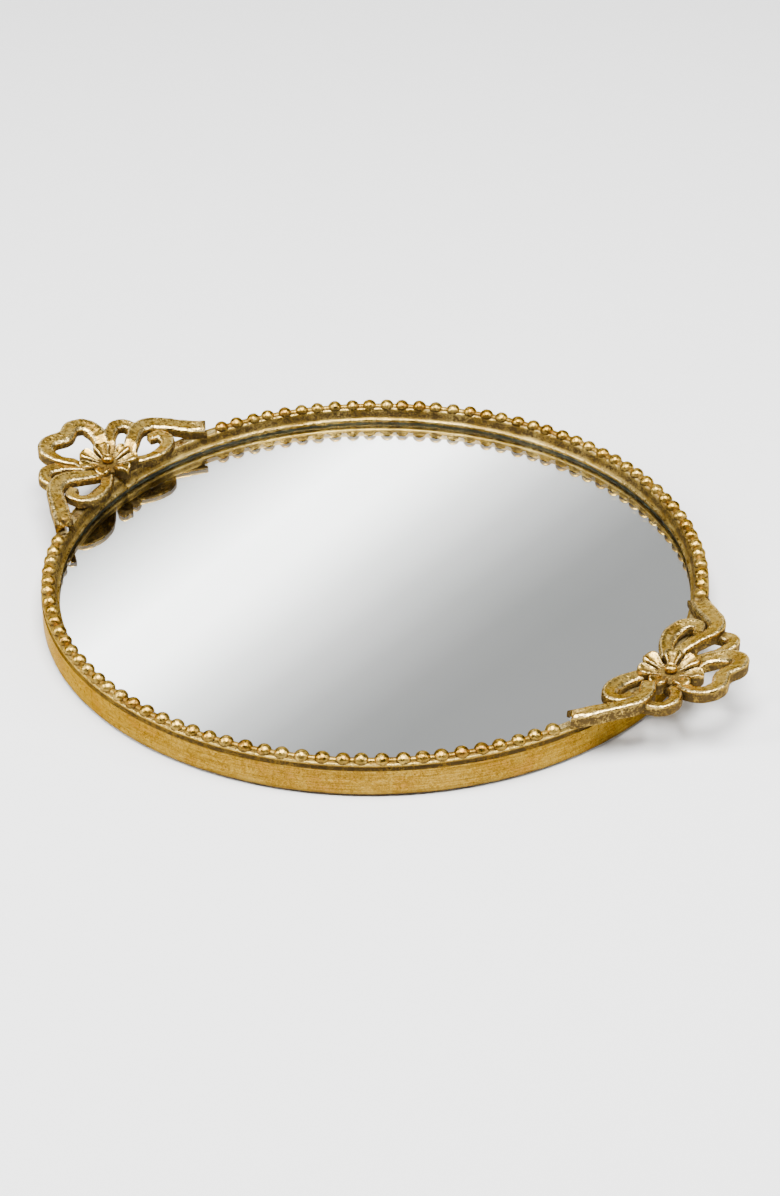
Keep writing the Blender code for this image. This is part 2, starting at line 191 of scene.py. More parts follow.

# Gold leaf from its darkest to its palest; bright leaf, partly from rubbing and partly a painted
# highlight; the red bole under it; and the brown toning, which also serves as painted shade
LEAF_DEEP = (0.20, 0.10, 0.008)
LEAF_MID = (0.37, 0.205, 0.02)
LEAF_PALE = (0.58, 0.36, 0.06)
LEAF_RUBBED_AND_HIGHLIGHT = (0.80, 0.56, 0.15)
LEAF_SHEEN = (0.80, 0.60, 0.27)
BOLE = (0.30, 0.095, 0.02)
TONING_SHADE_COLOUR = (0.062, 0.038, 0.012)

# Studio, in degrees and metres; a card's fade starts at this share of the way to its edge
CAMERA_AZIMUTH = 34.9
FLOOR_HALF = 6.0
WORLD_LIGHT = 0.2
CARD_DISTANCE = 2.4
CARD_FADE = 0.65
CARD_GLOW = 5.8
DARK_CARD = (4.0, 1.9)
MIRROR_CARD = (3.0, 2.0)
# The fade that the mirror shows: its slant in degrees, and place and brightness across it. Both
# follow grey levels that a program sampled across the photo's mirror, converted to light
MIRROR_FADE_SLOPE = 54
MIRROR_FADE = [(0.0, 0.17), (0.13, 0.53), (0.27, 1.0), (0.38, 0.92), (0.52, 0.46), (0.63, 0.25),
               (0.74, 0.15), (0.85, 0.1), (0.95, 0.087)]


# ---- materials --------------------------------------------------------------------------

class Tree:
    """A material's node tree, with short calls to add and join nodes."""

    def __init__(self, name):
        self.material = bpy.data.materials.new(name)
        self.material.use_nodes = True
        self.nodes = self.material.node_tree.nodes
        self.links = self.material.node_tree.links
        self.nodes.clear()
        self.output = self.nodes.new("ShaderNodeOutputMaterial")

    def set(self, node, name, value):
        socket = node.inputs[name]
        if isinstance(value, bpy.types.NodeSocket):
            self.links.new(value, socket)
        elif isinstance(value, tuple) and len(value) == 3 and socket.type == "RGBA":
            socket.default_value = (*value, 1.0)
        else:
            socket.default_value = value

    def add(self, kind, inputs=None, **settings):
        node = self.nodes.new(f"ShaderNode{kind}")
        for name, value in settings.items():
            setattr(node, name, value)
        for name, value in (inputs or {}).items():
            self.set(node, name, value)
        return node

    def place(self, scale=(1.0, 1.0, 1.0)):
        """Object coordinates in metres, stretched by scale."""
        where = self.add("TexCoord").outputs["Object"]
        return self.add("Mapping", {"Vector": where, "Scale": scale}).outputs[0]

    def noise(self, scale, detail=4.0, rough=0.55, stretch=(1.0, 1.0, 1.0), distortion=0.0):
        """Noise from 0 to 1, with scale features to the metre."""
        return self.add("TexNoise", {"Vector": self.place(stretch), "Scale": scale,
                                     "Detail": detail, "Roughness": rough,
                                     "Distortion": distortion}).outputs["Fac"]

    def window(self, value, low, high, to_low=0.0, to_high=1.0):
        """value's way from low to high, held at both ends."""
        return self.add("MapRange", {"Value": value, "From Min": low, "From Max": high,
                                     "To Min": to_low, "To Max": to_high}).outputs[0]

    def math(self, operation, a, b, clamp=False):
        return self.add("Math", {0: a, 1: b}, operation=operation, use_clamp=clamp).outputs[0]

    def mix(self, factor, a, b):
        node = self.add("Mix", data_type="RGBA")
        self.set(node, 0, factor)
        self.set(node, 6, a)
        self.set(node, 7, b)
        return node.outputs[2]

    def finish(self, shader):
        self.links.new(shader.outputs[0], self.output.inputs["Surface"])
        return self.material


def tinted(colour, tint):
    """A colour multiplied channel by channel."""
    return tuple(c * k for c, k in zip(colour, tint))


def gilt_grain(t, mottle, speck, brushed, brush):
    """The leaf's grain: mottled where it lies on carving, streaked and sandy where it is brushed."""
    grain = t.math("ADD", t.math("MULTIPLY", mottle, 1.0 - 0.7 * brush),
                   t.math("MULTIPLY", brushed, 0.35 * brush))
    grain = t.math("ADD", grain, t.math("MULTIPLY", speck, 0.35 * brush))
    reach = 0.5 / (1.0 + 1.3 * brush)
    return t.window(grain, 0.5 - reach, 0.5 + reach)


def gilt_leaf(t, grain, cloud, toning_and_painted_light, red, brush, tint):
    """The leaf's colour: three golds, bole where it is thin, and bright metal where rubbing has
    bared it and where a painted highlight is put on edges and ridges.
    """
    deep, mid, pale, rubbed_highlight_colour = [tinted(colour, tint) for colour in
                               (LEAF_DEEP, LEAF_MID, LEAF_PALE, LEAF_RUBBED_AND_HIGHLIGHT)]
    leaf = t.mix(t.window(grain, 0.38, 0.56), deep, mid)
    leaf = t.mix(t.window(cloud, 0.45, 0.75, 0.0, 1.0 - 0.6 * brush), leaf, pale)
    leaf = t.mix(t.window(grain, 0.55, 0.68), leaf, pale)
    bole = t.math("MULTIPLY", t.window(cloud, 0.5, 0.38), t.window(grain, 0.48, 0.6))
    leaf = t.mix(t.math("MULTIPLY", bole, red, True), leaf, BOLE)
    # Bright leaf where the mesh's value is below zero: partly rubbing, partly a painted highlight on
    # edges and ridges
    rubbed_highlight_mask = t.math("MULTIPLY", t.window(toning_and_painted_light, 0.0, -1.0), t.window(grain, 0.4, 0.56, 0.4, 1.0))
    return t.mix(rubbed_highlight_mask, leaf, rubbed_highlight_colour)


def gilt_toning_and_shade(t, toning_and_painted_light, mottle, speck, patina_and_shade):
    """Brown toning and painted shade in hollows, on walls and under edges and parts, from the mesh's
    values and from ambient occlusion, broken up as it was wiped.
    """
    # Painted shade: ambient occlusion darkens closed-in places, such as round the beads and between
    # ribbons
    ambient_occlusion = t.add("AmbientOcclusion", {"Distance": 0.0032}, samples=6)
    occlusion_shade = t.window(ambient_occlusion.outputs["AO"], 0.86, 0.38)
    patches = t.noise(190.0, 3.0, 0.6)
    broken = t.math("ADD", t.window(mottle, 0.4, 0.6, 0.0, 0.7),
                    t.window(patches, 0.38, 0.62, 0.0, 0.55))
    broken = t.math("ADD", broken, t.window(speck, 0.42, 0.58, 0.0, 0.55))
    toning_and_shade_depth = t.math("MAXIMUM", occlusion_shade, toning_and_painted_light)
    return t.math("MULTIPLY", t.math("MULTIPLY", toning_and_shade_depth, broken), patina_and_shade, True)


def gilt(name, patina_and_shade, red, pit, shine, tint, brush=0.0):
    """Gold leaf over red bole, with rubbing, brown toning, painted highlights and painted shade.

    patina_and_shade is how far the brown toning and painted shade fill the hollows, red how much
    bole shows, brush the depth of the marks that run round the rim, pit the depth of the cast pits,
    shine the roughness of bare leaf and tint what the leaf's colours are multiplied by. The mesh's
    toning_and_painted_light value is how far a place holds brown toning and painted shade, and below
    zero how far it is bright from rubbing and a painted highlight."""
    t = Tree(name)
    cloud = t.noise(70.0, 5.0, 0.6)
    mottle = t.noise(560.0, 6.0, 0.7, distortion=0.6)
    speck = t.noise(1500.0, 3.0, 0.6)
    brushed = t.noise(28.0, 6.0, 0.7, stretch=(1.0, 1.0, 42.0), distortion=0.25)
    toning_and_painted_light = t.add("Attribute", attribute_name="toning_and_painted_light").outputs["Fac"]
    grain = gilt_grain(t, mottle, speck, brushed, brush)
    leaf = gilt_leaf(t, grain, cloud, toning_and_painted_light, red, brush, tint)

    # Small places where the leaf is lost, and brush marks, both filled with tone
    lost = t.math("MULTIPLY", t.window(speck, 0.59, 0.68), t.window(mottle, 0.48, 0.6))
    marks = t.math("MULTIPLY", t.window(brushed, 0.6, 0.74), brush, True)
    # Brown toning with painted shade from the mesh's values and ambient occlusion, mixed in as dark
    # brown
    toning_and_shade = gilt_toning_and_shade(t, toning_and_painted_light, mottle, speck, patina_and_shade)
    toning_and_shade = t.math("MAXIMUM", toning_and_shade, t.math("MULTIPLY", lost, patina_and_shade * 0.7))
    toning_and_shade = t.math("MAXIMUM", toning_and_shade, t.math("MULTIPLY", marks, 0.7), True)
    colour = t.mix(toning_and_shade, leaf, TONING_SHADE_COLOUR)

    swell = t.noise(480.0, 2.0, 0.5)
    height = t.math("ADD", t.math("MULTIPLY", swell, pit), t.math("MULTIPLY", mottle, 0.2 * pit))
    height = t.math("SUBTRACT", height, t.math("MULTIPLY", lost, 0.12 * pit))
    height = t.math("SUBTRACT", height, t.math("MULTIPLY", marks, 0.5))
    height = t.math("ADD", height, t.math("MULTIPLY", brushed, 0.3 * brush))
    bump = t.add("Bump", {"Height": height, "Strength": 1.0, "Distance": 0.0016})
    rough = t.window(mottle, 0.3, 0.7, shine - 0.06, shine + 0.14)
    rough = t.math("ADD", rough, t.math("MULTIPLY", toning_and_shade, 0.32), True)
    metal = t.math("SUBTRACT", 1.0, t.math("MULTIPLY", toning_and_shade, 0.45), True)
    return t.finish(t.add("BsdfPrincipled", {"Base Color": colour, "Metallic": metal,
                                             "Roughness": rough, "Specular IOR Level": 0.15,
                                             "Specular Tint": LEAF_SHEEN,
                                             "Normal": bump.outputs[0]}))


def plain(name, low, high, scale, roughness, metallic=0.0, bump=0.3, stretch=(1.0, 1.0, 1.0)):
    """A surface whose colour, gloss and relief wander between two tones."""
    t = Tree(name)
    grain = t.noise(scale, 6.0, 0.6, stretch)
    cloud = t.noise(scale / 14.0, 3.0, 0.5)
    spread = t.math("ADD", t.math("MULTIPLY", grain, 0.7), t.math("MULTIPLY", cloud, 0.3))
    colour = t.mix(t.window(spread, 0.35, 0.65), low, high)
    relief = t.add("Bump", {"Height": grain, "Strength": bump, "Distance": 0.0003})
    rough = t.window(grain, 0.3, 0.7, roughness - 0.05, min(roughness + 0.08, 1.0))
    return t.finish(t.add("BsdfPrincipled", {"Base Color": colour, "Roughness": rough,
                                             "Metallic": metallic,
                                             "Normal": relief.outputs[0]}))


def felt_material():
    """Pressed felt, of fine fibres that lie two ways."""
    t = Tree("brown_felt")
    fibre = t.noise(2600.0, 4.0, 0.7, (1.0, 0.35, 1.0), 1.5)
    cross = t.noise(2300.0, 4.0, 0.7, (0.35, 1.0, 1.0), 1.5)
    fluff = t.math("MAXIMUM", fibre, cross)
    colour = t.mix(t.window(fluff, 0.4, 0.7), (0.03, 0.02, 0.014), (0.11, 0.075, 0.05))
    colour = t.mix(t.window(t.noise(60.0), 0.4, 0.7, 0.0, 0.35), colour, (0.075, 0.05, 0.035))
    relief = t.add("Bump", {"Height": fluff, "Strength": 0.8, "Distance": 0.0004})
    return t.finish(t.add("BsdfPrincipled", {"Base Color": colour, "Roughness": 0.95,
                                             "Sheen Weight": 0.35, "Sheen Roughness": 0.5,
                                             "Normal": relief.outputs[0]}))


def silver_material():
    """The silvering, with the faintest cloudiness."""
    t = Tree("silvering")
    cloud = t.noise(9.0, 2.0, 0.5)
    colour = t.mix(t.window(cloud, 0.35, 0.65), (0.93, 0.935, 0.935), (0.96, 0.96, 0.96))
    haze = t.window(t.noise(300.0, 2.0), 0.3, 0.7, 0.0, 0.004)
    return t.finish(t.add("BsdfPrincipled", {"Base Color": colour, "Metallic": 1.0,
                                             "Roughness": haze}))


def edge_material():
    """The ground edge of the glass: green, and dark as a painted shade of the rebate where it is
    seen through.
    """
    return plain("glass_edge", (0.006, 0.014, 0.009), (0.02, 0.036, 0.026), 500.0, 0.45)


def glass_material():
    """Clear plate glass, very faintly green."""
    t = Tree("mirror_glass")
    tint = t.mix(t.window(t.noise(12.0, 2.0), 0.3, 0.7), (0.975, 0.99, 0.98), (0.985, 0.995, 0.99))
    return t.finish(t.add("BsdfPrincipled", {"Base Color": tint, "Roughness": 0.0,
                                             "IOR": 1.5, "Transmission Weight": 1.0}))


# ---- meshes -----------------------------------------------------------------------------

def loft(rings, closed=False, toning_and_painted_light=None):
    """Verts, faces and values of brown toning and painted light of a skin over rings of equal
    length.

    A skin that isn't closed on itself is capped at both ends."""
    rings = np.asarray(rings, float)
    count, points = rings.shape[:2]
    verts = rings.reshape(-1, 3).tolist()
    values = [0.0] * len(verts) if toning_and_painted_light is None else np.asarray(toning_and_painted_light).reshape(-1).tolist()
    faces = []
    for i in range(count if closed else count - 1):
        near, far = i * points, (i + 1) % count * points
        for j in range(points):
            k = (j + 1) % points
            faces.append((near + j, near + k, far + k, far + j))
    if not closed:
        for start in (0, (count - 1) * points):
            middle = len(verts)
            verts.append(np.mean(verts[start:start + points], axis=0).tolist())
            values.append(float(np.mean(values[start:start + points])))
            for j in range(points):
                faces.append((start + j, start + (j + 1) % points, middle))
    return verts, faces, values


def joined(parts):
    """Several lofts as one."""
    verts, faces, values = [], [], []
    for part_verts, part_faces, part_values in parts:
        first = len(verts)
        verts += part_verts
        values += part_values
        faces += [tuple(first + v for v in face) for face in part_faces]
    return verts, faces, values


def roughen(body, size, depth, seed=0.0):
    """Shift every point a little, as hand finishing and casting do, with finer swells on top."""
    verts, faces, values = body
    moved = []
    for v in verts:
        at = Vector(v) / size + Vector((seed, seed * 0.7, seed * 1.3))
        shift = noise.noise_vector(at) + 0.4 * noise.noise_vector(at * 2.7)
        moved.append(tuple(Vector(v) + depth * shift))
    return moved, faces, values


def piece(name, body, mat, nodes, crease=50):
    """Make a piece from a body in millimetres; it stands for nodes."""
    verts, faces, values = body
    mesh = bpy.data.meshes.new(name)
    mesh.from_pydata([tuple(c * MM for c in v) for v in verts], [], faces)
    mesh.attributes.new("toning_and_painted_light", "FLOAT", "POINT").data.foreach_set("value", values)
    bm = bmesh.new()
    bm.from_mesh(mesh)
    bmesh.ops.recalc_face_normals(bm, faces=bm.faces)
    bm.to_mesh(mesh)
    bm.free()
    mesh.shade_smooth()
    mesh.set_sharp_from_angle(angle=math.radians(crease))
    mesh.materials.append(mat)
    obj = bpy.data.objects.new(name, mesh)
    bpy.context.scene.collection.objects.link(obj)
    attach(obj, "root")
    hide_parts(*nodes)
    return obj


def arc(centre, radius, start, end, steps):
    """Points from one angle to another, in degrees."""
    angles = [math.radians(start + (end - start) * i / steps) for i in range(steps + 1)]
    return [(centre[0] + radius * math.cos(a), centre[1] + radius * math.sin(a)) for a in angles]


def turned(profile, wobble, toning_and_painted_light, joint=None, fade=0.0):
    """Turn a closed outline of (radius, height) points about Z.

    wobble is how far the outline wanders as it goes round, joint a groove cut across it and fade
    how far the darkening, a painted shade, thins out away from the side near the camera."""
    sinks = {math.tau * i / TURN_STEPS: 0.0 for i in range(TURN_STEPS)}
    if joint:
        centre, half, depth = joint
        sinks = {turn: 0.0 for turn in sinks if abs(turn - centre) > half}
        for share, fall in JOINT_FALL:
            sinks[centre + share * half] = fall * depth
    rings, values = [], []
    for turn, sink in sorted(sinks.items()):
        ring = []
        for radius, height in profile:
            r = radius + wobble * noise.noise(Vector((6 * math.cos(turn), 6 * math.sin(turn),
                                                      height / 5)))
            ring.append(((r + sink) * math.cos(turn), (r + sink) * math.sin(turn),
                         height - sink * (height > RIM_BOTTOM + 1)))
        rings.append(ring)
        # Painted shade: the darkening is kept full on the side near the camera and thinned out
        # opposite
        kept = 1 - fade * (0.5 - 0.5 * math.cos(turn - PAINTED_SHADE_SIDE)) ** 0.7
        shade = [v * kept if v > 0 else v for v in toning_and_painted_light]
        values.append([JOINT_RECESS] * len(profile) if sink else shade)
    return loft(rings, closed=True, toning_and_painted_light=values)


# ---- rim, glass and base ----------------------------------------------------------------

def build_band(mat):
    """The outer wall: plain, with a groove under the roll that turns over to the beads."""
    outline = [(BAND_INNER, RIM_BOTTOM), (OUTER_RADIUS - 0.45, RIM_BOTTOM),
               (OUTER_RADIUS - 0.12, RIM_BOTTOM + 0.15), (OUTER_RADIUS - 0.03, RIM_BOTTOM + 0.6)]
    wall_top = CROWN_TOP - ROUND_OVER
    for share in (0.15, 0.3, 0.5, 0.7, 0.85, 0.95):
        outline.append((OUTER_RADIUS - 0.03, RIM_BOTTOM + share * (wall_top - RIM_BOTTOM)))
    outline += [(OUTER_RADIUS - 0.08, wall_top - 0.9), (OUTER_RADIUS - 0.25, wall_top - 0.6),
                (OUTER_RADIUS - 0.55, wall_top - 0.3), (OUTER_RADIUS - 0.75, wall_top + 0.4),
                (OUTER_RADIUS - 0.65, wall_top + 0.9), (OUTER_RADIUS - 0.45, wall_top + 1.3)]
    outline += arc((OUTER_RADIUS - 1.1, wall_top + 1.75), 0.85, -25, 85, 7)
    outline.append((BAND_INNER, CROWN_TOP - 0.02))
    # Values of brown toning and painted light at the outline's points: darker at the foot and in the
    # groove, a painted shade and dark reflection, and bright on the roll, a painted highlight
    toning_and_painted_light = [0.0] * len(outline)
    foot = [0.8, 0.8, 0.35]
    groove = [0.3, 1.0, 1.2, 1.2, 1.2, 1.2, 0.8, 0.2]
    roll = [-0.8] * (len(outline) - 19)
    toning_and_painted_light[1:4] = foot
    toning_and_painted_light[10:18] = groove
    toning_and_painted_light[19:] = roll
    body = turned(outline, 0.05, toning_and_painted_light, fade=PAINTED_SHADE_FADE)
    piece("outer_band_gilt", body, mat, ["outer_band"])


def build_moulding(mat):
    """The inner strip: a crown under the beads, a shallow cove and a fine lip, bright with a painted
    highlight.
    """
    inner = [(MOULDING_OUTER, RIM_BOTTOM), (MOULDING_OUTER, CROWN_TOP), (147.2, CROWN_TOP),
             (146.75, CROWN_TOP - 0.08), (146.45, CROWN_TOP - 0.35), (146.28, CROWN_TOP - 0.8),
             (146.1, CROWN_TOP - 1.6), (145.85, CROWN_TOP - 2.5), (145.62, CROWN_TOP - 3.4),
             (145.42, CROWN_TOP - 4.1), (145.24, CROWN_TOP - 4.5), (144.95, CROWN_TOP - 4.75),
             (144.6, CROWN_TOP - 4.95), (144.35, CROWN_TOP - 5.2), (144.22, CROWN_TOP - 5.5),
             (LIP_RADIUS, CROWN_TOP - 5.9), (LIP_RADIUS + 0.02, GLASS_TOP + LIP_GAP + 0.25),
             (LIP_RADIUS + 0.2, GLASS_TOP + LIP_GAP), (REBATE_RADIUS, GLASS_TOP + LIP_GAP),
             (REBATE_RADIUS, RIM_BOTTOM)]
    # Values of brown toning and painted light at the outline's points: painted highlights on the
    # crown and the lip, brown toning and painted shade in the cove and the rebate
    toning_and_painted_light = [0.0] * len(inner)
    crown = [-0.5, -0.6, -0.4]
    cove = [0.2, 0.5, 0.9, 1.1, 1.0, 0.7, 0.5, 0.5]
    lip = [0.0, -0.5, 0.0]
    rebate = [0.5, 0.9, 1.0, 1.0]
    toning_and_painted_light[1:19] = crown + cove + lip + rebate
    body = turned(inner, 0.06, toning_and_painted_light, STRIP_JOINT)
    piece("rim_moulding_gilt", body, mat, ["rim_moulding"])


def disc(radius, low, high, ease):
    """A plate with eased edges, as rings from its underside's middle to its top's middle."""
    angles = [math.tau * i / DISC_STEPS for i in range(DISC_STEPS)]
    outline = [(radius * 0.5, low), (radius - ease, low), (radius, low + ease),
               (radius, high - ease), (radius - ease, high), (radius * 0.5, high)]
    return loft([[(r * math.cos(a), r * math.sin(a), z) for a in angles] for r, z in outline])


def build_plates(felt, silver, glass, edge):
    """The felt under the tray, and the mirror as its silvering and the glass over it."""
    silver_top = GLASS_BOTTOM + SILVER_THICKNESS
    sheet = disc(FELT_RADIUS, 0.0, FELT_TOP, 0.25)
    film = disc(GLASS_RADIUS - 0.1, GLASS_BOTTOM, silver_top, 0.05)
    plate = disc(GLASS_RADIUS, silver_top + 0.01, GLASS_TOP, 0.3)
    piece("felt_base", sheet, felt, ["base_felt"], crease=PLATE_CREASE)
    piece("mirror_silvering", film, silver, ["mirror_plate"], crease=PLATE_CREASE)
    mirror = piece("mirror_glass", plate, glass, ["mirror_plate"], crease=PLATE_CREASE)
    mirror.data.materials.append(edge)
    for face in mirror.data.polygons:
        face.material_index = int(abs(face.normal.z) < 0.9)


# ---- beads ------------------------------------------------------------------------------

def bead(turn, radius, shift, squat):
    """One bead, a ball sunk to its middle in the crown, with a tucked-in foot."""
    centre = ((BEAD_CIRCLE + shift) * math.cos(turn), (BEAD_CIRCLE + shift) * math.sin(turn))
    angles = [math.tau * i / BEAD_AROUND for i in range(BEAD_AROUND)]
    rings, values = [], []
    for step in range(BEAD_UP):
        lean = BEAD_FOOT + (BEAD_POLE - BEAD_FOOT) * step / (BEAD_UP - 1)
        r = radius * math.cos(lean)
        z = BEAD_CENTRE + squat * radius * math.sin(lean)
        rings.append([(centre[0] + r * math.cos(a), centre[1] + r * math.sin(a), z)
                      for a in angles])
        # Darker towards the foot, where the bead meets the crown: toning and painted shade
        values.append([max(0.0, 1.2 - 1.7 * (lean - BEAD_FOOT))] * BEAD_AROUND)
    return loft(rings, toning_and_painted_light=values)


def thread(start, end):
    """The thin half-round cord that the beads sit on."""
    section = [(BEAD_CIRCLE + CORD_RADIUS * math.cos(math.radians(angle)),
                CROWN_TOP + 0.02 + CORD_HEIGHT * math.sin(math.radians(angle)))
               for angle in range(0, 181, 30)]
    rings = []
    for i in range(CORD_STEPS + 1):
        turn = start + (end - start) * i / CORD_STEPS
        rings.append([(r * math.cos(turn), r * math.sin(turn), z) for r, z in section])
    return loft(rings, toning_and_painted_light=[[CORD_TONING_AND_SHADE] * len(section) for _ in rings])


def build_beads(mat):
    """Two rows, each bead a little out of place and out of round."""
    rng = random.Random(11)
    reach = (BEADS_PER_ROW - 1) / 2 * BEAD_PITCH
    for name, centre in (("north", math.pi / 2), ("south", -math.pi / 2)):
        parts = [thread(centre - reach, centre + reach)]
        for i in range(BEADS_PER_ROW):
            turn = centre - reach + i * BEAD_PITCH + rng.uniform(-0.06, 0.06) * BEAD_PITCH
            parts.append(bead(turn, BEAD_RADIUS * rng.uniform(0.96, 1.0),
                              rng.uniform(-0.12, 0.12), rng.uniform(0.86, 0.9)))
        body = roughen(joined(parts), *BEAD_FINISH, seed=3.0)
        piece(f"bead_row_{name}_gilt", body, mat, [f"bead_row_{name}"])


# ---- bows -------------------------------------------------------------------------------

def smooth_path(points, steps=PATH_STEPS):
    """A centripetal Catmull-Rom curve through rows of numbers."""
    rows = np.array(points)
    rows = np.vstack([2 * rows[0] - rows[1], rows, 2 * rows[-1] - rows[-2]])
    curve = []
    for i in range(1, len(rows) - 2):
        before, start, end, after = rows[i - 1:i + 3]
        gaps = [math.sqrt(np.linalg.norm(b[:3] - a[:3])) for a, b in
                ((before, start), (start, end), (end, after))]
        leave = (end - start) - (end - before) / (gaps[0] + gaps[1]) * gaps[1]
        leave += (start - before) / gaps[0] * gaps[1]
        arrive = (end - start) - (after - start) / (gaps[1] + gaps[2]) * gaps[1]
        arrive += (after - end) / gaps[2] * gaps[1]
        for u in np.arange(steps) / steps:
            curve.append((2 * u**3 - 3 * u**2 + 1) * start + (u**3 - 2 * u**2 + u) * leave
                         + (3 * u**2 - 2 * u**3) * end + (u**3 - u**2) * arrive)
    curve.append(rows[-2])
    return np.array(curve)


def mirrored(points):
    """The same rows on the other side of the bow."""
    return [(-across, *rest) for across, *rest in points]


def bow_to_tray(across, out, height, bow_turn):
    """A place in a bow's own axes, across it and out from the tray's middle, in the tray's."""
    x = out * math.cos(bow_turn) + across * math.sin(bow_turn)
    y = out * math.sin(bow_turn) - across * math.cos(bow_turn)
    return (x, y, BOW_DATUM + height)


# Sections: place across the width from -1 to 1, drop below the top, and the value of brown toning
# and painted light: toning and painted shade on the walls and the underside, a little toning in the
# dished middle and a painted highlight on the rolled edges. A drop of None is the underside.
RIBBON_SECTION = [
    (-0.97, None, 1.0), (-1.0, 3.4, 1.0), (-1.0, 2.4, 0.85), (-0.99, 1.6, 0.6),
    (-0.96, 1.0, 0.0), (-0.89, 0.55, -0.7), (-0.78, 0.2, -0.9), (-0.64, 0.02, -0.4),
    (-0.5, 0.0, 0.0), (-0.25, 0.1, 0.1), (0.0, 0.16, 0.15), (0.25, 0.1, 0.1),
    (0.5, 0.0, 0.0), (0.64, 0.02, -0.4), (0.78, 0.2, -0.9), (0.89, 0.55, -0.7),
    (0.96, 1.0, 0.0), (0.99, 1.6, 0.6), (1.0, 2.4, 0.85), (1.0, 3.4, 1.0),
    (0.97, None, 0.8), (0.5, None, 0.7), (-0.5, None, 0.7),
]
PETAL_SECTION = [
    (-0.94, None, 1.0), (-0.98, 3.0, 1.0), (-1.0, 1.9, 0.9), (-1.0, 1.1, 0.4),
    (-0.96, 0.5, 0.0), (-0.88, 0.14, -0.6), (-0.76, 0.0, -0.8), (-0.6, 0.0, 0.0),
    (-0.4, 0.0, 0.0), (-0.2, 0.0, 0.1), (0.0, 0.0, 0.2), (0.2, 0.0, 0.1),
    (0.4, 0.0, 0.0), (0.6, 0.0, 0.0), (0.76, 0.0, -0.8), (0.88, 0.14, -0.6),
    (0.96, 0.5, 0.0), (1.0, 1.1, 0.4), (1.0, 1.9, 0.9), (0.98, 3.0, 1.0),
    (0.94, None, 1.0), (0.5, None, 1.0), (-0.5, None, 1.0),
]


def ribbon_course(points, heart):
    """A ribbon's rows along its path, and for each its outward and forward directions in plan and
    the length still to go. Outward is the side away from heart."""
    path = smooth_path(points)
    away = np.hypot(path[:, 0] - BOW_CENTRE[0], path[:, 1] - BOW_CENTRE[1])
    free = np.clip((away - DIVE_RADIUS) / DIVE_FADE, 0.0, 1.0)
    ceiling = DIVE_TOP + DIVE_RISE * free**2 * (3 - 2 * free)
    path[:, 2] = np.where(free < 1.0, np.minimum(path[:, 2], ceiling), path[:, 2])
    direction = np.gradient(path[:, :2], axis=0)
    direction /= np.linalg.norm(direction, axis=1)[:, None]
    outward = np.stack([direction[:, 1], -direction[:, 0]], axis=1)
    if np.sum((path[:, :2] - np.array(heart)) * outward) < 0:
        outward = -outward
    steps = np.linalg.norm(np.diff(path[:, :2], axis=0), axis=1)
    left = np.concatenate([np.cumsum(steps[::-1])[::-1], [0.0]])
    return zip(path, outward, direction, left)


def ribbon(points, heart, bow_turn, notch=0.0):
    """A ribbon with rolled edges and a dished top, swept along a path.

    notch is the depth of the notch in the far end, which also parts that end into two flutes."""
    rings, toning_and_painted_light = [], []
    for row, side, ahead, remaining in ribbon_course(points, heart):
        across, out, top, width, wall, bank = row
        bottom = top - wall
        if math.hypot(across, out) - width / 2 < RIM_REACH:
            bottom = max(bottom, BOW_FLOOR)
        ending = max(0.0, 1.0 - remaining / FLUTE_REACH) if notch else 0.0
        cut = notch * max(0.0, 1.0 - remaining / NOTCH_REACH)
        ring, values = [], []
        for place, drop, shade in RIBBON_SECTION:
            lateral = place * width / 2
            back = cut * (1 - abs(place))
            if drop is None:
                height = bottom
            else:
                flute = (0.5 + 0.5 * math.cos(math.tau * abs(place))) * (abs(place) < 0.95)
                drop = drop + ending * (FLUTE_DEPTH * flute - FLUTE_LIFT)
                height = max(top - drop + place / 2 * bank, bottom + 0.2)
            ring.append(bow_to_tray(across + side[0] * lateral - ahead[0] * back,
                                    out + side[1] * lateral - ahead[1] * back,
                                    height, bow_turn))
            # The flutes' middles at the free end are darkened: painted shade
            values.append(min(1.0, shade + ending * 0.5 * (abs(place) < 0.6)))
        rings.append(ring)
        toning_and_painted_light.append(values)
    return loft(rings, toning_and_painted_light=toning_and_painted_light)


